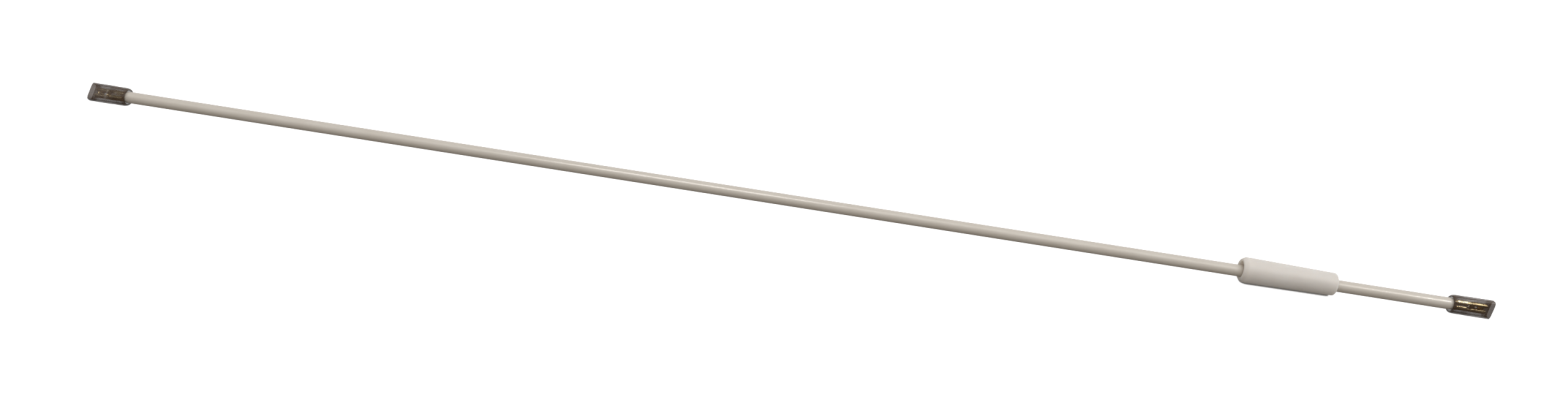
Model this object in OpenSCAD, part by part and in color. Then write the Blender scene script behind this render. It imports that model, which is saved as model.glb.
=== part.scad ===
// Flame-sense lead: a straight, stiff, high-temperature insulated wire with a 4.8 mm
// push-on receptacle in a slip-on hood at each end, and a loose insulating sleeve that
// slides along it. The lead runs along X, +Z is up, and the sleeve rests on Z = 0.
// The origin is under the middle of the lead. Millimetres.

/* [Lead] */
// Overall length, from the open end of one hood to the open end of the other
overall_length = 762; // [500:1:1200]
// Outer diameter of the jacket
jacket_diameter = 6.3; // [5.6:0.1:6.4]
// Diameter of one wire of the seven in the conductor
wire_diameter = 0.62; // [0.4:0.02:0.64]
// How far the jacket reaches into each hood
jacket_entry = 1; // [0.8:0.1:3]

/* [Sleeve] */
// Length of the sleeve
sleeve_length = 49; // [30:1:80]
// Outer diameter at the end that faces the middle of the lead
sleeve_large_diameter = 13.6; // [13:0.1:15]
// Outer diameter at the end that faces the near terminal
sleeve_small_diameter = 12; // [12:0.1:13]
// Diameter of the bore
sleeve_bore = 8.6; // [8:0.1:9]
// How far the domed large end draws in from the outside
sleeve_rim = 1.5; // [0.5:0.1:1.7]
// Length of the dome along the sleeve
sleeve_dome = 2.1; // [1:0.1:3]
// Radius of the small end's rounded outer rim
sleeve_small_rim = 0.6; // [0.3:0.1:1]
// Distance from the middle of the lead to the large end of the sleeve
sleeve_place = 250; // [60:1:270]
// Angle by which the sleeve's small end tips down towards the surface
sleeve_tip = 0.5; // [0:0.1:0.6]

/* [Hoods] */
// Length of a hood
hood_length = 21.4; // [20.6:0.1:28]
// Width of a hood across its flat faces' long side
hood_width = 10.1; // [9.6:0.1:11]
// Height of a hood at its flat, open end
hood_height = 4.3; // [4.3:0.1:6]
// Wall thickness of a hood
hood_wall = 0.65; // [0.5:0.05:0.65]
// Angle from upright of the left terminal's width, leaning to +Y
left_lean = 50; // [0:1:359]
// Angle from upright of the right terminal's width, leaning to +Y
right_lean = 8; // [0:1:359]

/* [Receptacles] */
// Length of a receptacle
receptacle_length = 17.3; // [17:0.1:18.6]
// Width over the rolled rails
receptacle_width = 5.9; // [5.8:0.1:6.2]
// Length of the rolled rails, which take the tab
rail_length = 7.7; // [7:0.1:8]
// Outer radius of a rolled rail
rail_radius = 1.2; // [1.15:0.05:1.3]
// Thickness of the sheet metal
sheet = 0.4; // [0.3:0.05:0.4]
// Length of the crimped barrel
barrel_length = 5.6; // [4.5:0.1:5.8]
// Length of the open window that shows the wires between the jacket and the barrel
window_length = 2; // [1:0.1:2.2]
// Thickness of the tab that the receptacle takes
tab_thickness = 0.8; // [0.5:0.05:0.8]

/* [Hidden] */

// Small gaps that keep neighbouring pieces apart.
bore_gap = 0.1;
wire_gap = 0.01;
fit_gap = 0.02;
mouth_gap = 0.45;

// Places along the lead, each a distance from its middle.
hood_mouth = overall_length / 2 - hood_length;
jacket_end = hood_mouth + jacket_entry;

// The lead lies on the floor of the sleeve's bore.
jacket_radius = jacket_diameter / 2;
lead_drop = sleeve_bore / 2 - jacket_radius - bore_gap;
sleeve_height = sleeve_large_diameter / 2;
lead_height = sleeve_height - lead_drop;

// The conductor: six wires round one.
wire_pitch = wire_diameter + wire_gap;
bundle_radius = 1.5 * wire_diameter + wire_gap;
wire_reach = window_length + barrel_length + 1.2;
wire_end = jacket_end + wire_reach;

// The hood's outline: a round mouth, a rounded shoulder, then round going over to flat.
mouth_radius = jacket_radius + mouth_gap + hood_wall;
shoulder_length = 2.4;
round_half_height = mouth_radius + 0.1;
flat_start = 4.4;
flat_end = 12;
flat_power = 4.2;
hood_sides = 40;

// The receptacle's outline, with the tab's slot level with the middle of the rails.
rail_centre = receptacle_width / 2 - rail_radius;
slot_height = tab_thickness + 0.05;
neck_length = receptacle_length - rail_length - barrel_length - window_length;
flange_height = 1.2;
// The crimped barrel is two lobes of folded sheet, side by side, with the wires between,
// and the wires show in a window at each end of it.
lobe_radius = rail_radius + 0.1;
lobe_place = receptacle_width / 2 - lobe_radius;
lobe_floor = lobe_place + 0.6 * lobe_radius;
barrel_half_width = lobe_place + lobe_radius - 0.2;
window_half_width = 1.8;
detent_radius = 0.8;
detent_place = 4.2;

// Clamps a share to the range from 0 to 1.
function share(t) = min(1, max(0, t));

// Rises from 0 to 1 with a level start and a level finish.
function ease(t) = share(t) * share(t) * (3 - 2 * share(t));

// Rises from 0 to 1 as a quarter circle does.
function shoulder(t) = sqrt(1 - pow(1 - share(t), 2));

// How flat the hood is at a distance u from its round mouth, from 0 to 1.
function flatness(u) = ease((u - flat_start) / (flat_end - flat_start));

function half_width(u) =
    mouth_radius + (hood_width / 2 - mouth_radius) * shoulder(u / shoulder_length);

function half_height(u) =
    let (rounded = mouth_radius + (round_half_height - mouth_radius) * shoulder(u / shoulder_length))
    rounded + (hood_height / 2 - rounded) * flatness(u);

// A number raised to a power with its sign kept.
function signed_power(x, p) = sign(x) * pow(abs(x), p);

// One ring of the hood's wall, drawn in by inset from the outside.
function hood_ring(u, inset) =
    let (power = 2 / (2 + (flat_power - 2) * pow(flatness(u), 2)))
    [for (i = [0 : hood_sides - 1])
        let (t = 360 * i / hood_sides)
        [
            u,
            (half_width(u) - inset) * signed_power(cos(t), power),
            (half_height(u) - inset) * signed_power(sin(t), power)
        ]
    ];

// Distances from the round mouth at which the hood has a ring.
hood_stations = concat(
    [for (turn = [0 : 18 : 72]) shoulder_length * (1 - cos(turn))],
    [for (u = [shoulder_length : 1.1 : flat_end + 0.2]) u],
    [16, hood_length]
);

// A closed surface from rings of points that are joined in a loop, the last to the first.
module ring_loop(rings) {
    sides = len(rings[0]);
    count = len(rings);
    points = [for (ring = rings) each ring];
    faces = [
        for (i = [0 : count - 1], j = [0 : sides - 1])
        let (
            next_ring = (i + 1) % count,
            next_side = (j + 1) % sides
        )
        each [
            [i * sides + j, next_ring * sides + j, i * sides + next_side],
            [i * sides + next_side, next_ring * sides + j, next_ring * sides + next_side]
        ]
    ];
    polyhedron(points, faces, convexity = 6);
}

// Puts a terminal's piece, drawn outwards along +X from the hood's round mouth, on one
// end of the lead. side is 1 for the right end and -1 for the left.
module on_end(side, lean) {
    translate([0, 0, lead_height])
        rotate([90 - lean, 0, 0])
            rotate([0, 0, side > 0 ? 0 : 180])
                translate([hood_mouth, 0, 0])
                    children();
}

// A round bar along X from one place to another.
module bar_x(from, to, radius, sides = 48) {
    translate([from, 0, 0])
        rotate([0, 90, 0])
            cylinder(r = radius, h = to - from, $fn = sides);
}

module jacket() {
    color([0.87, 0.84, 0.79])
        translate([0, 0, lead_height])
            difference() {
                bar_x(-jacket_end, jacket_end, jacket_radius, 64);
                bar_x(-jacket_end - 1, jacket_end + 1, bundle_radius + fit_gap);
            }
}

module wire(y, z) {
    color([0.80, 0.79, 0.76])
        translate([0, y, lead_height + z])
            bar_x(-wire_end, wire_end, wire_diameter / 2, 24);
}

module outer_wire(number) {
    turn = 60 * number;
    wire(wire_pitch * cos(turn), wire_pitch * sin(turn));
}

// The rolled rail's section, open on its inner side where the tab's edge goes in.
module rail_section() {
    translate([rail_centre, 0])
        difference() {
            circle(r = rail_radius, $fn = 48);
            circle(r = rail_radius - sheet, $fn = 48);
            translate([-rail_radius, -slot_height / 2])
                square([rail_radius, slot_height]);
        }
}

module rails() {
    floor_plate = 2 * rail_centre;
    rotate([90, 0, 90])
        linear_extrude(rail_length)
            difference() {
                union() {
                    rail_section();
                    mirror([1, 0])
                        rail_section();
                    translate([-floor_plate / 2, -rail_radius])
                        square([floor_plate, sheet]);
                }
                translate([-floor_plate / 2, -slot_height / 2])
                    square([floor_plate, slot_height]);
            }
}

// A floor with two low upturned flanges, whose half width goes from near to far.
module channel(length, near, far) {
    translate([0, 0, -rail_radius]) {
        linear_extrude(sheet)
            polygon([[0, -near], [length, -far], [length, far], [0, near]]);
        for (side = [-1, 1])
            linear_extrude(flange_height)
                polygon([
                    [0, side * near],
                    [length, side * far],
                    [length, side * (far - sheet)],
                    [0, side * (near - sheet)]
                ]);
    }
}

// The barrel's two folded lobes stand side by side on the floor plate.
module barrel() {
    for (side = [-1, 1])
        translate([0, side * lobe_place, 0])
            bar_x(0, barrel_length, lobe_radius);
    translate([0, -lobe_floor, -rail_radius])
        cube([barrel_length, 2 * lobe_floor, rail_radius]);
}

module receptacle(side, lean) {
    color([0.78, 0.66, 0.38])
        on_end(side, lean)
            translate([jacket_entry, 0, 0])
                difference() {
                    union() {
                        channel(window_length, window_half_width, barrel_half_width);
                        translate([window_length, 0, 0])
                            barrel();
                        translate([window_length + barrel_length, 0, 0])
                            channel(neck_length, barrel_half_width, rail_centre + sheet / 2);
                        translate([receptacle_length - rail_length, 0, 0])
                            rails();
                    }
                    bar_x(-1, wire_reach + 0.1, bundle_radius + fit_gap);
                    translate([receptacle_length - detent_place, 0, -rail_radius - 1])
                        cylinder(r = detent_radius, h = 2, $fn = 32);
                }
}

module hood(side, lean) {
    outside = [for (u = hood_stations) hood_ring(u, 0)];
    inside = [for (i = [len(hood_stations) - 1 : -1 : 0]) hood_ring(hood_stations[i], hood_wall)];
    color([0.35, 0.31, 0.27, 0.6])
        on_end(side, lean)
            ring_loop(concat(outside, inside));
}

// The sleeve's half section, from its large end at 0 along +Y, with a dome there and a
// rounded rim at its small end.
module sleeve_section() {
    large = sleeve_large_diameter / 2;
    small = sleeve_small_diameter / 2;
    bore = sleeve_bore / 2;
    edge = 0.3;
    polygon(concat(
        [[bore + edge, 0]],
        [for (t = [0 : 15 : 90])
            [large - sleeve_rim + sleeve_rim * sin(t), sleeve_dome - sleeve_dome * cos(t)]],
        [for (t = [0 : 15 : 90])
            [
                small - sleeve_small_rim + sleeve_small_rim * cos(t),
                sleeve_length - sleeve_small_rim + sleeve_small_rim * sin(t)
            ]],
        [[bore + edge, sleeve_length], [bore, sleeve_length - edge], [bore, edge]]
    ));
}

// The tapered sleeve stands on the dome of its large end and tips a little down
// from there, towards its small end.
module sleeve() {
    color([0.93, 0.92, 0.89])
        translate([sleeve_place + sleeve_dome, 0, 0])
            rotate([0, sleeve_tip, 0])
                translate([-sleeve_dome, 0, sleeve_height])
                    rotate([0, 90, 0])
                        rotate_extrude($fn = 96)
                            sleeve_section();
}

jacket();
wire(0, 0);  // wire_core
outer_wire(1);  // wire_1
outer_wire(2);  // wire_2
outer_wire(3);  // wire_3
outer_wire(4);  // wire_4
outer_wire(5);  // wire_5
outer_wire(6);  // wire_6
receptacle(-1, left_lean);  // left_receptacle
receptacle(1, right_lean);  // right_receptacle
hood(-1, left_lean);  // left_hood
hood(1, right_lean);  // right_hood
sleeve();
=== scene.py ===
import math

import bmesh
import bpy
import numpy as np
from mathutils import Matrix, Vector


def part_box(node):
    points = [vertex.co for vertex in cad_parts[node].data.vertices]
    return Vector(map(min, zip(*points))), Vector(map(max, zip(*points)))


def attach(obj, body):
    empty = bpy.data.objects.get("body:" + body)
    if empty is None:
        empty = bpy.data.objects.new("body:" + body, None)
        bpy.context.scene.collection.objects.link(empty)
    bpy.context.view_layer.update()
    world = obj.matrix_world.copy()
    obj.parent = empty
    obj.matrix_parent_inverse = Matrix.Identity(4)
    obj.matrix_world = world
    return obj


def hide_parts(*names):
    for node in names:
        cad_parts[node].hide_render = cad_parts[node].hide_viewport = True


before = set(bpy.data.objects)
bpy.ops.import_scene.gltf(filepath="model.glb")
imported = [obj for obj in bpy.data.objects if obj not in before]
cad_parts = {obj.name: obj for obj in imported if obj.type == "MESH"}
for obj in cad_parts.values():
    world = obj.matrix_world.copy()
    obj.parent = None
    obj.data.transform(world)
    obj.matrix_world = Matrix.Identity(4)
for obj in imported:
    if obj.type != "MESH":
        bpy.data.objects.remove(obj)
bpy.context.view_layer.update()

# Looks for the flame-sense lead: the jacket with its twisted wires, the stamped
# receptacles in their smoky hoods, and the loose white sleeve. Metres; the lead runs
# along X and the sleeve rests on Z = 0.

MM = 0.001

# The photograph's view: a wide lens a little above the table, rolled so that the lead
# falls to the right, with its right end slightly nearer. The focal length is in pixels
# of the frame's width.
IMAGE_WIDTH = 2560
FOCAL_PIXELS = 1761
SENSOR = 36
CAMERA_ELEVATION = math.radians(32)
CAMERA_YAW = math.radians(-2.8)
CAMERA_ROLL = math.radians(7.4)
CAMERA_DISTANCE = 0.5796
AIM_ALONG = 0.0069
AIM_UP = -0.00446

# The lead, from the CAD frame.
JACKET_LOW, JACKET_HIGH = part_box("jacket")
JACKET_END = JACKET_HIGH.x
JACKET_RADIUS = (JACKET_HIGH.z - JACKET_LOW.z) / 2
LEAD_HEIGHT = (JACKET_HIGH.z + JACKET_LOW.z) / 2
WIRE_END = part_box("wire_core")[1].x
WIRE_RADIUS = (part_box("wire_core")[1].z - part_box("wire_core")[0].z) / 2
WIRE_PITCH = 2 * WIRE_RADIUS + 0.01 * MM
BORE_RADIUS = 3 * WIRE_RADIUS + 0.03 * MM
WIRE_LAY = 26 * MM
STEPS_PER_LAY = 18
JACKET_EDGE = 0.12 * MM
# The jacket's extruded skin swells and thins by a share of its radius; the pace is in
# radians per metre.
SKIN_SWELL = 0.0012
SKIN_SWELL_PACE = 61

# The terminals. A lean is the angle of the width from upright, towards +Y.
HOOD_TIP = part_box("right_hood")[1].x
HOOD_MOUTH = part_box("right_hood")[0].x
HOOD_LENGTH = HOOD_TIP - HOOD_MOUTH
HOOD_WIDTH = 10.1 * MM
HOOD_HEIGHT = 4.3 * MM
HOOD_WALL = 0.65 * MM
MOUTH_RADIUS = JACKET_RADIUS + 0.45 * MM + HOOD_WALL
ROUND_HALF_HEIGHT = MOUTH_RADIUS + 0.1 * MM
SHOULDER_LENGTH = 2.4 * MM
FLAT_START = 4.4 * MM
FLAT_END = 12 * MM
FLAT_POWER = 4.2
TERMINALS = [("left", -1, math.radians(50)), ("right", 1, math.radians(8))]

# The stamped receptacle: window, barrel, neck and rails, with a short step between each.
RECEPTACLE_START = JACKET_END - HOOD_MOUTH
RECEPTACLE_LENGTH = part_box("right_receptacle")[1].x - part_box("right_receptacle")[0].x
RAIL_LENGTH = 7.7 * MM
WINDOW_LENGTH = 2 * MM
BARREL_LENGTH = 5.6 * MM
STEP_LENGTH = 0.3 * MM
WINDOW_WAIST = 0.15 * MM
NECK_WAIST = 0.05 * MM
BELL_LENGTH = 0.8 * MM
BELL_RISE = 0.06 * MM
# How far the sheet's edge sweeps round from the floor, in degrees.
WINDOW_SWEEP, BARREL_SWEEP, NECK_SWEEP, RAIL_SWEEP = 165, 256, 172, 262
SHEET = 0.38 * MM
SHEET_EDGE = 0.06 * MM
HALF_WIDTH = 2.95 * MM
RAIL_RADIUS = 1.2 * MM
LOBE_RADIUS = 1.3 * MM
LOBE_REACH = 1.27 * MM
DETENT_PLACE = RECEPTACLE_LENGTH - 4.2 * MM
DETENT_RADIUS = 0.8 * MM
FOLD_POWER = 1.7

# The sleeve.
SLEEVE_PLACE = 250 * MM
SLEEVE_LENGTH = 49 * MM
SLEEVE_LARGE = (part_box("sleeve")[1].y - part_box("sleeve")[0].y) / 2
SLEEVE_SMALL = 6 * MM
SLEEVE_BORE = 4.3 * MM
SLEEVE_RIM = 1.5 * MM
SLEEVE_DOME = 2.1 * MM
SLEEVE_SMALL_RIM = 0.6 * MM
SLEEVE_CREASE = math.radians(28)
SLEEVE_FILLET_LENGTH = 0.5 * MM
SLEEVE_FILLET_RISE = 0.15 * MM
SLEEVE_EDGE = 0.3 * MM
SLEEVE_TIP = math.radians(0.5)

# How much light each surface of a hood's wall keeps back, from 0 to 1.
CLEAREST, HAZIEST = 0.44, 0.49
TAB_LIP_DENSITY, WIRE_LIP_DENSITY, EDGE_ON_DENSITY = 0.76, 0.74, 0.97

FLOOR_REACH = 9
FLOOR_GLOW = 1.1
# How far the ambient occlusion looks for the contact shadow painted into the paper's glow.
PAINTED_SHADOW_REACH = 3 * MM

# The lights: name, place, target, size, power, colour, and whether a light brightens
# matt surfaces or shows only as a highlight.
LIGHTS = [
    ("overhead", (0.5, -0.3, 1.5), (0.2, 0, 0), (1.2, 1.2), 5.5, (1, 1, 1), True),
    ("lamp", (-0.26, -0.51, 1.41), (-0.05, 0, 0), (0.55, 0.5), 13, (1, 0.97, 0.93), False),
    ("window", (1.12, -0.56, 1.39), (0.3, 0, 0), (0.1, 0.5), 0.7, (1, 0.98, 0.95), False),
    ("strip", (1.45, -0.56, 1.39), (0.36, 0, 0), (0.4, 0.5), 30, (1, 0.98, 0.93), False),
    ("side", (-1.95, -0.56, 1.39), (-0.36, 0, 0), (0.36, 0.5), 13, (1, 0.98, 0.93), False),
    ("rear", (0.3, 1.2, 0.9), (0.1, 0, 0), (2.4, 0.7), 1.5, (0.93, 0.96, 1), True),
]


# ---------------------------------------------------------------- meshes

def share(t):
    """Holds a value between 0 and 1."""
    return min(1.0, max(0.0, t))


def ease(t):
    """Rises from 0 to 1 with a level start and finish."""
    t = share(t)
    return t * t * (3 - 2 * t)


def link(name, mesh, smooth_below=40):
    """Puts a mesh in the scene, smooth where its faces meet at under so many degrees."""
    piece = bpy.data.objects.new(name, mesh)
    bpy.context.scene.collection.objects.link(piece)
    mesh.polygons.foreach_set("use_smooth", [True] * len(mesh.polygons))
    mesh.set_sharp_from_angle(angle=math.radians(smooth_below))
    return piece


def ring_loop(name, rings, smooth_below=40):
    """A closed surface through rings of points, the last ring joined to the first."""
    rings = np.array(rings)
    count, sides = rings.shape[:2]
    faces = []
    for i in range(count):
        for j in range(sides):
            a, b = i * sides + j, i * sides + (j + 1) % sides
            step = ((i + 1) % count - i) * sides
            faces.append((a, a + step, b + step, b))
    mesh = bpy.data.meshes.new(name)
    mesh.from_pydata(rings.reshape(-1, 3).tolist(), [], faces)
    face_outwards(mesh)
    return link(name, mesh, smooth_below)


def face_outwards(mesh):
    """Points every face outwards."""
    work = bmesh.new()
    work.from_mesh(mesh)
    bmesh.ops.recalc_face_normals(work, faces=work.faces)
    work.to_mesh(mesh)
    work.free()


def around_x(x, radius, sides, centre=(0, LEAD_HEIGHT)):
    """A ring of points about a line along X."""
    turn = np.linspace(0, 2 * math.pi, sides, endpoint=False)
    return np.stack([
        np.full(sides, x),
        centre[0] + radius * np.cos(turn),
        centre[1] + radius * np.sin(turn),
    ], axis=-1)


def rod(name, line, radius, sides):
    """A round bar with slightly rounded ends that follows a line running along X."""
    line = np.array(line)
    along = np.gradient(line, axis=0)
    along /= np.linalg.norm(along, axis=1)[:, None]
    side = np.cross(along, (0, 0, 1))
    side /= np.linalg.norm(side, axis=1)[:, None]
    up = np.cross(side, along)
    turn = np.linspace(0, 2 * math.pi, sides, endpoint=False)[None, :, None]
    reach = np.full(len(line), radius)
    reach[[0, -1]] *= 0.8
    rings = line[:, None] + reach[:, None, None] * (
        np.cos(turn) * side[:, None] + np.sin(turn) * up[:, None])
    count = len(rings)
    faces = [
        (i * sides + j, (i + 1) * sides + j,
         (i + 1) * sides + (j + 1) % sides, i * sides + (j + 1) % sides)
        for i in range(count - 1) for j in range(sides)
    ]
    faces.append(list(range(sides)))
    faces.append([(count - 1) * sides + j for j in reversed(range(sides))])
    mesh = bpy.data.meshes.new(name)
    mesh.from_pydata(rings.reshape(-1, 3).tolist(), [], faces)
    face_outwards(mesh)
    return link(name, mesh, 50)


def place_on_end(points, side, lean):
    """Moves points drawn as (outwards from the hood's mouth, across, up) to one end."""
    points = np.array(points, float)
    out, across, up = points[..., 0], points[..., 1] * side, points[..., 2]
    turn = math.pi / 2 - lean
    return np.stack([
        side * (HOOD_MOUTH + out),
        math.cos(turn) * across - math.sin(turn) * up,
        math.sin(turn) * across + math.cos(turn) * up + LEAD_HEIGHT,
    ], axis=-1)


# ---------------------------------------------------------------- the lead

def make_jacket():
    """The thick insulation: an open tube whose cut ends have softly rounded edges."""
    edge = [
        (JACKET_EDGE * (1 - math.sin(t)), JACKET_EDGE * (1 - math.cos(math.pi / 2 - t)))
        for t in np.linspace(0, math.pi / 2, 4)
    ]
    profile = [(-JACKET_END + inwards, JACKET_RADIUS - drop) for inwards, drop in edge]
    for x in np.linspace(-JACKET_END, JACKET_END, 202)[1:-1]:
        swell = SKIN_SWELL * math.sin(x * SKIN_SWELL_PACE)
        profile.append((x, JACKET_RADIUS * (1 + swell)))
    profile += [(JACKET_END - inwards, JACKET_RADIUS - drop) for inwards, drop in reversed(edge)]
    profile += [(x, BORE_RADIUS) for x in (JACKET_END, 0, -JACKET_END)]
    return ring_loop("lead_jacket", [around_x(x, radius, 64) for x, radius in profile])


def make_wire(number):
    """One wire of the conductor; number 0 is the core and the others twist round it."""
    steps = round(2 * WIRE_END / WIRE_LAY * STEPS_PER_LAY)
    line = []
    for x in np.linspace(-WIRE_END, WIRE_END, steps if number else 40):
        turn = math.radians(60 * number) - 2 * math.pi * x / WIRE_LAY
        reach = WIRE_PITCH if number else 0
        line.append((x, reach * math.cos(turn), LEAD_HEIGHT + reach * math.sin(turn)))
    return rod("twisted_wire_%d" % number, line, WIRE_RADIUS, 10)


# ---------------------------------------------------------------- the terminals

def shoulder(t):
    """Rises round a quarter circle, from upright at 0 to level at 1."""
    return math.sqrt(1 - (1 - share(t)) ** 2)


def flatness(u):
    """How flat the hood is at a distance from its round mouth, from 0 to 1."""
    return ease((u - FLAT_START) / (FLAT_END - FLAT_START))


def hood_ring(u, inset, sides=96):
    """One ring of a hood's wall, drawn in from its outside."""
    swell = shoulder(u / SHOULDER_LENGTH)
    wide = MOUTH_RADIUS + (HOOD_WIDTH / 2 - MOUTH_RADIUS) * swell
    rounded = MOUTH_RADIUS + (ROUND_HALF_HEIGHT - MOUTH_RADIUS) * swell
    high = rounded + (HOOD_HEIGHT / 2 - rounded) * flatness(u)
    power = 2 / (2 + (FLAT_POWER - 2) * flatness(u) ** 2)
    turn = np.linspace(0, 2 * math.pi, sides, endpoint=False)
    cos, sin = np.cos(turn), np.sin(turn)
    return np.stack([
        np.full(sides, u),
        (wide - inset) * np.sign(cos) * np.abs(cos) ** power,
        (high - inset) * np.sign(sin) * np.abs(sin) ** power,
    ], axis=-1)


def make_hood(name, side, lean):
    """The slip-on hood: a thin shell, round at the wire and flat at the tab's end."""
    half = HOOD_WALL / 2
    stations = [HOOD_LENGTH * ease(i / 60) for i in range(1, 60)]
    stations = [half + s * (HOOD_LENGTH - 2 * half) / HOOD_LENGTH for s in stations]
    outside = [hood_ring(u, 0) for u in stations]
    inside = [hood_ring(u, HOOD_WALL) for u in reversed(stations)]
    lip = np.linspace(0, math.pi, 7)
    tab_lip = [hood_ring(HOOD_LENGTH - half + half * math.sin(t), half - half * math.cos(t))
               for t in lip]
    wire_lip = [hood_ring(half - half * math.sin(t), half + half * math.cos(t)) for t in lip]
    rings = outside + tab_lip + inside + wire_lip
    return ring_loop(name, [place_on_end(r, side, lean) for r in rings])


def sheet_profile(u):
    """Half of the stamping's section at u: floor's half width, fold's reach across and
    up, and how far the fold sweeps round."""
    barrel_start = WINDOW_LENGTH
    neck_start = WINDOW_LENGTH + BARREL_LENGTH
    rail_start = RECEPTACLE_LENGTH - RAIL_LENGTH
    to_barrel = ease((u - barrel_start) / STEP_LENGTH)
    to_neck = ease((u - neck_start + STEP_LENGTH) / STEP_LENGTH)
    to_rail = ease((u - rail_start) / STEP_LENGTH)
    to_rail_size = ease((u - neck_start) / (rail_start - neck_start))
    lobe, rail = LOBE_RADIUS - SHEET / 2, RAIL_RADIUS - SHEET / 2
    across = LOBE_REACH + (rail - LOBE_REACH) * to_rail_size
    up = lobe + (rail - lobe) * to_rail_size
    at_barrel = ease(1 - (u - barrel_start) / BELL_LENGTH) * to_barrel
    at_rails = ease((u - RECEPTACLE_LENGTH + BELL_LENGTH) / BELL_LENGTH)
    bell = BELL_RISE * (at_barrel + at_rails)
    waist = NECK_WAIST * (to_neck - to_rail) + WINDOW_WAIST * (1 - to_barrel)
    floor = HALF_WIDTH - SHEET / 2 - across - waist
    sweep = (
        WINDOW_SWEEP
        + (BARREL_SWEEP - WINDOW_SWEEP) * to_barrel
        + (NECK_SWEEP - BARREL_SWEEP) * to_neck
        + (RAIL_SWEEP - NECK_SWEEP) * to_rail
    )
    return floor, across, up + bell, math.radians(sweep)


def fold(turn):
    """A point on a rolled fold of radius 1, pressed flat on its outer diagonals."""
    cos, sin = math.cos(turn), math.sin(turn)
    if cos <= 0:
        return cos, sin
    return cos ** FOLD_POWER, math.copysign(abs(sin) ** FOLD_POWER, sin)


def make_receptacle(name, side, lean):
    """One folded sheet: wire window, crimped barrel, neck, and rails rolled over."""
    floor_steps, arc_steps = 12, 36
    steps = [
        WINDOW_LENGTH,
        WINDOW_LENGTH + BARREL_LENGTH - STEP_LENGTH,
        RECEPTACLE_LENGTH - RAIL_LENGTH,
    ]
    # Even stations, and closer ones where the section changes; both to the micron.
    stations = sorted(
        set(np.round(np.linspace(0, RECEPTACLE_LENGTH, 60), 6))
        | {round(step + d, 6) for step in steps for d in np.linspace(0, STEP_LENGTH, 6)}
    )
    rows = []
    for u in stations:
        floor, reach, rise, sweep = sheet_profile(u)
        half = [(floor * i / floor_steps, -rise) for i in range(floor_steps)]
        for j in range(arc_steps + 1):
            across, up = fold(-math.pi / 2 + sweep * j / arc_steps)
            half.append((floor + reach * across, rise * up))
        rows.append([(u, -w, n) for w, n in reversed(half[1:])] + [(u, w, n) for w, n in half])
    rows = np.array(rows)
    count, wide = rows.shape[:2]
    points = rows.reshape(-1, 3)
    faces = [
        (i * wide + j, (i + 1) * wide + j, (i + 1) * wide + j + 1, i * wide + j + 1)
        for i in range(count - 1) for j in range(wide - 1)
    ]
    points, faces = cut_detent(points, faces)
    mesh = bpy.data.meshes.new(name)
    mesh.from_pydata(
        place_on_end(points + (RECEPTACLE_START, 0, 0), side, lean).tolist(), [], faces)
    piece = link(name, mesh)
    thicken = piece.modifiers.new("sheet", "SOLIDIFY")
    thicken.thickness = SHEET
    thicken.offset = 0
    rounded = piece.modifiers.new("edges", "BEVEL")
    rounded.width = SHEET_EDGE
    rounded.segments = 2
    rounded.limit_method = "ANGLE"
    rounded.angle_limit = math.radians(50)
    return apply_modifiers(piece)


def cut_detent(points, faces):
    """Opens the round detent hole in the floor and pulls its rim onto the circle."""
    away = points[:, :2] - (DETENT_PLACE, 0)
    far = np.linalg.norm(away, axis=1)
    on_floor = points[:, 2] < -0.5 * RAIL_RADIUS
    inside = on_floor & (far < DETENT_RADIUS)
    kept = [f for f in faces if not any(inside[i] for i in f)]
    gone = {i for f in faces if any(inside[i] for i in f) for i in f}
    rim = [i for i in gone if not inside[i]]
    points = points.copy()
    for i in rim:
        points[i, :2] = (DETENT_PLACE, 0) + away[i] / far[i] * DETENT_RADIUS
    used = sorted({i for f in kept for i in f})
    place = {old: new for new, old in enumerate(used)}
    return points[used], [tuple(place[i] for i in f) for f in kept]


def apply_modifiers(piece):
    """Bakes a piece's modifiers into its mesh."""
    shown = piece.evaluated_get(bpy.context.evaluated_depsgraph_get())
    mesh = bpy.data.meshes.new_from_object(shown)
    piece.modifiers.clear()
    piece.data = mesh
    mesh.polygons.foreach_set("use_smooth", [True] * len(mesh.polygons))
    mesh.set_sharp_from_angle(angle=math.radians(35))
    return piece


# ---------------------------------------------------------------- the sleeve

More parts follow.
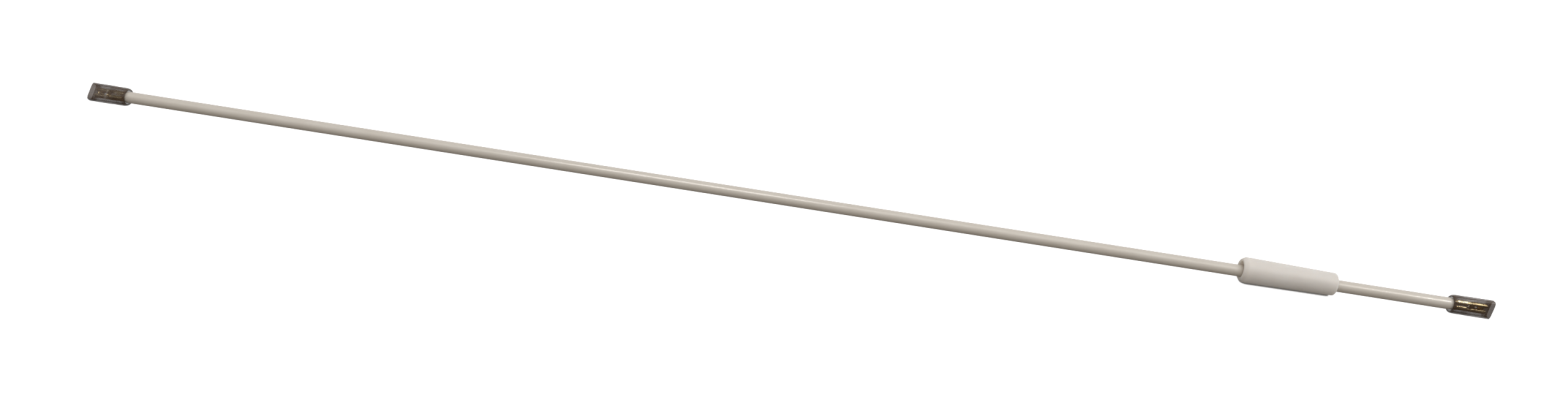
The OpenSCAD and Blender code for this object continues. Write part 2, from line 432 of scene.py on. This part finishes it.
def make_sleeve():
    """The loose tapered sleeve: a domed large end, a rounded small end, soft bore edges."""
    pull = SLEEVE_DOME * math.tan(SLEEVE_CREASE)
    dome = [
        (SLEEVE_DOME * t * t, SLEEVE_RIM * (1 - t) ** 2 + 2 * pull * t * (1 - t))
        for t in np.linspace(0, 0.93, 12)
    ]
    # A small fillet rounds the crease where the dome meets the side.
    start, slope = dome[-1], math.tan(SLEEVE_CREASE)
    for t in (0.35, 0.7, 1.0):
        dome.append((
            start[0] + SLEEVE_FILLET_LENGTH * t,
            start[1] * (1 - t) ** 2 + SLEEVE_FILLET_RISE * slope * t * (1 - t),
        ))
    profile = [(x, SLEEVE_LARGE - drop) for x, drop in dome]
    for s in np.linspace(0, 1, 60)[1:-1]:
        reach = SLEEVE_LARGE + (SLEEVE_SMALL - SLEEVE_LARGE) * s
        x = dome[-1][0] + (SLEEVE_LENGTH - dome[-1][0] - SLEEVE_SMALL_RIM) * s
        profile.append((x, reach))
    for t in np.linspace(0, math.pi / 2, 8):
        profile.append((
            SLEEVE_LENGTH - SLEEVE_SMALL_RIM * (1 - math.sin(t)),
            SLEEVE_SMALL - SLEEVE_SMALL_RIM * (1 - math.cos(t)),
        ))
    bore_edge = [
        (SLEEVE_EDGE * (1 - math.cos(t)), SLEEVE_BORE + SLEEVE_EDGE * (1 - math.sin(t)))
        for t in np.linspace(0, math.pi / 2, 5)
    ]
    profile += [(SLEEVE_LENGTH - inwards, radius) for inwards, radius in bore_edge]
    for s in np.linspace(1, 0, 12)[1:-1]:
        profile.append((SLEEVE_EDGE + (SLEEVE_LENGTH - 2 * SLEEVE_EDGE) * s, SLEEVE_BORE))
    profile += reversed(bore_edge)
    lie = (
        Matrix.Translation((SLEEVE_PLACE + SLEEVE_DOME, 0, 0))
        @ Matrix.Rotation(SLEEVE_TIP, 4, "Y")
        @ Matrix.Translation((-SLEEVE_DOME, 0, SLEEVE_LARGE))
    )
    rings = [around_x(x, radius, 128, (0, 0)) for x, radius in profile]
    piece = ring_loop("insulating_sleeve", rings, 20)
    piece.data.transform(lie)
    return piece


# ---------------------------------------------------------------- materials

def new_material(name):
    """A new material, its node tree and its main shader."""
    material = bpy.data.materials.new(name)
    material.use_nodes = True
    tree = material.node_tree
    return material, tree, tree.nodes["Principled BSDF"]


def object_place(tree, scale):
    """Object coordinates, stretched by scale along each axis."""
    coordinates = tree.nodes.new("ShaderNodeTexCoord")
    mapping = tree.nodes.new("ShaderNodeMapping")
    mapping.inputs["Scale"].default_value = scale
    tree.links.new(coordinates.outputs["Object"], mapping.inputs["Vector"])
    return mapping.outputs["Vector"]


def noise(tree, scale, detail=3, roughness=0.5, distortion=0):
    """A noise texture; scale gives the patches per metre along each axis."""
    node = tree.nodes.new("ShaderNodeTexNoise")
    node.inputs["Scale"].default_value = 1
    node.inputs["Detail"].default_value = detail
    node.inputs["Roughness"].default_value = roughness
    node.inputs["Distortion"].default_value = distortion
    tree.links.new(object_place(tree, scale), node.inputs["Vector"])
    return node.outputs["Fac"]


def ramp(tree, value, stops):
    """Colours along a value: stops are (place, colour)."""
    node = tree.nodes.new("ShaderNodeValToRGB")
    band = node.color_ramp
    while len(band.elements) < len(stops):
        band.elements.new(0.5)
    for element, (place, colour) in zip(band.elements, stops):
        element.position = place
        element.color = (*colour, 1)
    tree.links.new(value, node.inputs["Fac"])
    return node.outputs["Color"]


def spread(tree, value, low, high, source=(0.3, 0.7)):
    """Maps a value from its source range to low .. high, and holds it there."""
    node = tree.nodes.new("ShaderNodeMapRange")
    node.inputs["From Min"].default_value, node.inputs["From Max"].default_value = source
    node.inputs["To Min"].default_value, node.inputs["To Max"].default_value = low, high
    tree.links.new(value, node.inputs["Value"])
    return node.outputs["Result"]


def blend_values(tree, first, second, share_of_second):
    """A mix of two values."""
    node = tree.nodes.new("ShaderNodeMix")
    node.inputs["Factor"].default_value = share_of_second
    tree.links.new(first, node.inputs["A"])
    tree.links.new(second, node.inputs["B"])
    return node.outputs["Result"]


def calculate(tree, operation, *values):
    """The result of a calculation on one or two values."""
    node = tree.nodes.new("ShaderNodeMath")
    node.operation = operation
    for value, socket in zip(values, node.inputs):
        tree.links.new(value, socket)
    return node.outputs["Value"]


def bump(tree, shader, height, distance, strength):
    """Lets a value raise the surface, by distance at most."""
    node = tree.nodes.new("ShaderNodeBump")
    node.inputs["Distance"].default_value = distance
    node.inputs["Strength"].default_value = strength
    tree.links.new(height, node.inputs["Height"])
    tree.links.new(node.outputs["Normal"], shader.inputs["Normal"])


def silicone_material():
    """Cream silicone: extrusion streaks, faint mottling and a soft sheen."""
    material, tree, shader = new_material("cream_silicone")
    clouds = noise(tree, (60, 260, 260), 4)
    streaks = noise(tree, (45, 1500, 1500), 3, 0.6)
    colour = ramp(tree, blend_values(tree, clouds, streaks, 0.4), [
        (0.30, (0.600, 0.532, 0.445)),
        (0.50, (0.632, 0.568, 0.482)),
        (0.72, (0.662, 0.602, 0.522)),
    ])
    tree.links.new(colour, shader.inputs["Base Color"])
    tree.links.new(spread(tree, streaks, 0.40, 0.52), shader.inputs["Roughness"])
    shader.inputs["Coat Weight"].default_value = 0.35
    shader.inputs["Coat Roughness"].default_value = 0.12
    skin = blend_values(tree, streaks, noise(tree, (4000,) * 3, 2), 0.35)
    bump(tree, shader, skin, 0.01 * MM, 0.3)
    return material


def sleeve_material():
    """White moulded sleeve: satin skin with fine grain, a faint warm mottle and a faint painted
    glow.
    """
    material, tree, shader = new_material("white_sleeve_moulding")
    clouds = noise(tree, (120, 120, 120), 4)
    grain = noise(tree, (5200,) * 3, 2)
    colour = ramp(tree, blend_values(tree, clouds, grain, 0.25), [
        (0.32, (0.660, 0.610, 0.552)),
        (0.52, (0.680, 0.633, 0.577)),
        (0.70, (0.700, 0.657, 0.604)),
    ])
    tree.links.new(colour, shader.inputs["Base Color"])
    tree.links.new(spread(tree, clouds, 0.5, 0.6), shader.inputs["Roughness"])
    shader.inputs["Specular IOR Level"].default_value = 0.3
    shader.inputs["Subsurface Weight"].default_value = 0.8
    shader.inputs["Subsurface Radius"].default_value = (5 * MM, 4.4 * MM, 3.8 * MM)
    shader.inputs["Subsurface Scale"].default_value = 1.0
    # A faint painted glow, standing in for light spread through the milky wall.
    shader.inputs["Emission Color"].default_value = (1.0, 0.93, 0.85, 1)
    shader.inputs["Emission Strength"].default_value = 0.055
    bump(tree, shader, blend_values(tree, grain, clouds, 0.5), 0.01 * MM, 0.3)
    return material


def brass_material():
    """Stamped brass: rolling marks along the strip, slight tarnish in patches."""
    material, tree, shader = new_material("stamped_brass")
    tarnish = noise(tree, (420,) * 3, 5, 0.6)
    rolled = noise(tree, (250, 6000, 6000), 3, 0.6)
    colour = ramp(tree, tarnish, [
        (0.35, (0.560, 0.410, 0.215)),
        (0.52, (0.790, 0.630, 0.370)),
        (0.75, (0.880, 0.750, 0.490)),
    ])
    tree.links.new(colour, shader.inputs["Base Color"])
    shader.inputs["Metallic"].default_value = 1
    tree.links.new(
        spread(tree, blend_values(tree, tarnish, rolled, 0.5), 0.26, 0.14),
        shader.inputs["Roughness"],
    )
    bump(tree, shader, rolled, 0.01 * MM, 0.5)
    return material


def wire_material():
    """Tinned copper: bright drawn wire with a hint of copper in its wear."""
    material, tree, shader = new_material("tinned_copper_wire")
    drawn = noise(tree, (900, 5000, 5000), 3)
    colour = ramp(tree, drawn, [
        (0.30, (0.640, 0.520, 0.420)),
        (0.45, (0.820, 0.800, 0.760)),
        (0.75, (0.880, 0.870, 0.850)),
    ])
    tree.links.new(colour, shader.inputs["Base Color"])
    shader.inputs["Metallic"].default_value = 1
    tree.links.new(spread(tree, drawn, 0.4, 0.22), shader.inputs["Roughness"])
    bump(tree, shader, drawn, 0.01 * MM, 0.4)
    return material


def hood_material():
    """Smoky see-through vinyl: slightly uneven, with a soft gloss and a faint haze."""
    material, tree, shader = new_material("smoky_vinyl")
    haze = noise(tree, (180, 520, 520), 4, 0.55, 0.3)
    ripple = noise(tree, (260, 900, 900), 2)
    colour = ramp(tree, haze, [
        (0.30, (0.075, 0.042, 0.022)),
        (0.55, (0.092, 0.054, 0.030)),
        (0.75, (0.118, 0.074, 0.044)),
    ])
    tree.links.new(colour, shader.inputs["Base Color"])
    tree.links.new(spread(tree, haze, 0.26, 0.38), shader.inputs["Roughness"])
    # Denser where a wall is seen edge-on, and in the thick lips at both ends.
    edge_on = tree.nodes.new("ShaderNodeLayerWeight")
    edge_on.inputs["Blend"].default_value = 0.5
    split = tree.nodes.new("ShaderNodeSeparateXYZ")
    tree.links.new(object_place(tree, (1, 1, 1)), split.inputs["Vector"])
    along = calculate(tree, "ABSOLUTE", split.outputs["X"])
    tab_lip = spread(
        tree, along, CLEAREST, TAB_LIP_DENSITY, (HOOD_TIP - 3.6 * MM, HOOD_TIP - 2.4 * MM))
    wire_lip = spread(
        tree, along, WIRE_LIP_DENSITY, CLEAREST, (HOOD_MOUTH + 0.8 * MM, HOOD_MOUTH + 2.2 * MM))
    lip = calculate(tree, "MAXIMUM", tab_lip, wire_lip)
    rim = spread(tree, edge_on.outputs["Facing"], CLEAREST, EDGE_ON_DENSITY, (0.35, 0.85))
    dense = calculate(tree, "MAXIMUM", lip, rim)
    wall = spread(tree, haze, CLEAREST, HAZIEST)
    tree.links.new(calculate(tree, "MAXIMUM", dense, wall), shader.inputs["Alpha"])
    shader.inputs["IOR"].default_value = 1.28
    bump(tree, shader, ripple, 0.04 * MM, 0.5)
    return material


def floor_material():
    """Plain pale paper, which glows enough to stay white but for a contact shadow painted into
    its glow where ambient occlusion is deep.
    """
    material, tree, shader = new_material("pale_paper")
    fibre = noise(tree, (300,) * 3, 3)
    colour = ramp(tree, fibre, [(0.3, (0.48, 0.48, 0.48)), (0.7, (0.50, 0.50, 0.50))])
    tree.links.new(colour, shader.inputs["Base Color"])
    shader.inputs["Roughness"].default_value = 0.9
    shader.inputs["Specular IOR Level"].default_value = 0
    occlusion_for_painted_shadow = tree.nodes.new("ShaderNodeAmbientOcclusion")
    occlusion_for_painted_shadow.samples = 16
    occlusion_for_painted_shadow.inputs["Distance"].default_value = PAINTED_SHADOW_REACH
    shader.inputs["Emission Color"].default_value = (1, 1, 1, 1)
    # Near the lead's ends the paper keeps its full glow, so the painted contact shadow is left
    # out under the hoods.
    split = tree.nodes.new("ShaderNodeSeparateXYZ")
    tree.links.new(object_place(tree, (1, 1, 1)), split.inputs["Vector"])
    along = calculate(tree, "ABSOLUTE", split.outputs["X"])
    full_glow_at_ends = spread(tree, along, 0.0, FLOOR_GLOW, (HOOD_MOUTH - 8 * MM, HOOD_MOUTH))
    # Painted contact shadow: the glow fades to nothing where ambient occlusion is deep, under
    # and beside the sleeve.
    glow_with_painted_shadow = spread(tree, occlusion_for_painted_shadow.outputs["AO"], 0.0, FLOOR_GLOW, (0.22, 0.30))
    tree.links.new(
        calculate(tree, "MAXIMUM", full_glow_at_ends, glow_with_painted_shadow), shader.inputs["Emission Strength"])
    return material


def dress(piece, material, body, slot, *nodes):
    """Gives a piece its material, the body that it rides on and the nodes it stands for."""
    piece.data.materials.clear()
    piece.data.materials.append(material)
    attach(piece, body)
    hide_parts(*nodes)
    return piece


# ---------------------------------------------------------------- stage

def make_camera():
    """The lead from its front and a little above, aimed near its middle."""
    data = bpy.data.cameras.new("camera")
    data.sensor_width = SENSOR
    data.lens = FOCAL_PIXELS / IMAGE_WIDTH * SENSOR
    data.clip_start = 0.01
    data.clip_end = 20
    camera = bpy.data.objects.new("camera", data)
    bpy.context.scene.collection.objects.link(camera)
    yaw, rise, roll = CAMERA_YAW, CAMERA_ELEVATION, CAMERA_ROLL
    ahead = Vector((
        math.sin(yaw) * math.cos(rise), math.cos(yaw) * math.cos(rise), -math.sin(rise)))
    level = Vector((math.cos(yaw), -math.sin(yaw), 0))
    above = level.cross(ahead)
    right = math.cos(roll) * level + math.sin(roll) * above
    top = -math.sin(roll) * level + math.cos(roll) * above
    place = Vector((AIM_ALONG, 0, LEAD_HEIGHT)) + AIM_UP * above - CAMERA_DISTANCE * ahead
    turn = Matrix((right, top, -ahead)).transposed().to_4x4()
    camera.matrix_world = Matrix.Translation(place) @ turn
    bpy.context.scene.camera = camera


def make_light(name, place, target, size, power, colour, brightens):
    """A rectangular lamp that faces its target."""
    data = bpy.data.lights.new(name, "AREA")
    data.shape = "RECTANGLE"
    data.size, data.size_y = size
    data.energy = power
    data.color = colour
    light = bpy.data.objects.new(name, data)
    bpy.context.scene.collection.objects.link(light)
    light.location = place
    light.rotation_euler = (Vector(target) - Vector(place)).to_track_quat("-Z", "Y").to_euler()
    light.visible_diffuse = brightens


def make_floor():
    """The paper that the lead lies over; it lights nothing and shows in no reflection."""
    mesh = bpy.data.meshes.new("floor")
    corners = [(-1, -1), (1, -1), (1, 1), (-1, 1)]
    mesh.from_pydata(
        [(FLOOR_REACH * x, FLOOR_REACH * y, 0) for x, y in corners], [], [(0, 1, 2, 3)])
    floor = bpy.data.objects.new("floor", mesh)
    bpy.context.scene.collection.objects.link(floor)
    mesh.materials.append(floor_material())
    floor.visible_diffuse = False
    floor.visible_glossy = False


def make_world():
    """A bright dome of light above and a dim warm one below."""
    world = bpy.data.worlds.new("studio")
    bpy.context.scene.world = world
    world.use_nodes = True
    tree = world.node_tree
    direction = tree.nodes.new("ShaderNodeTexCoord")
    split = tree.nodes.new("ShaderNodeSeparateXYZ")
    tree.links.new(direction.outputs["Generated"], split.inputs["Vector"])
    sky = ramp(tree, spread(tree, split.outputs["Z"], 0, 1, (-1, 1)), [
        (0.00, (0.15, 0.136, 0.122)),
        (0.48, (0.26, 0.236, 0.212)),
        (0.52, (0.86, 0.85, 0.84)),
        (1.00, (0.94, 0.96, 1.00)),
    ])
    background = tree.nodes["Background"]
    tree.links.new(sky, background.inputs["Color"])
    background.inputs["Strength"].default_value = 0.78


# ---------------------------------------------------------------- the scene

make_camera()

jacket = dress(make_jacket(), silicone_material(), "lead", "jacket_silicone", "jacket")
wire_look = wire_material()
wires = [
    dress(make_wire(i), wire_look, "lead", "tinned_copper", "wire_%d" % i if i else "wire_core")
    for i in range(7)
]

brass = brass_material()
vinyl = hood_material()
for end, side, lean in TERMINALS:
    dress(
        make_receptacle(end + "_stamped_receptacle", side, lean), brass,
        "lead", "receptacle_brass", end + "_receptacle")
    dress(
        make_hood(end + "_smoky_hood", side, lean), vinyl,
        "lead", "smoky_hood", end + "_hood")

dress(make_sleeve(), sleeve_material(), "sleeve", "white_sleeve", "sleeve")

make_floor()
make_world()
for light in LIGHTS:
    make_light(*light)
bpy.context.scene.view_settings.view_transform = "Standard"
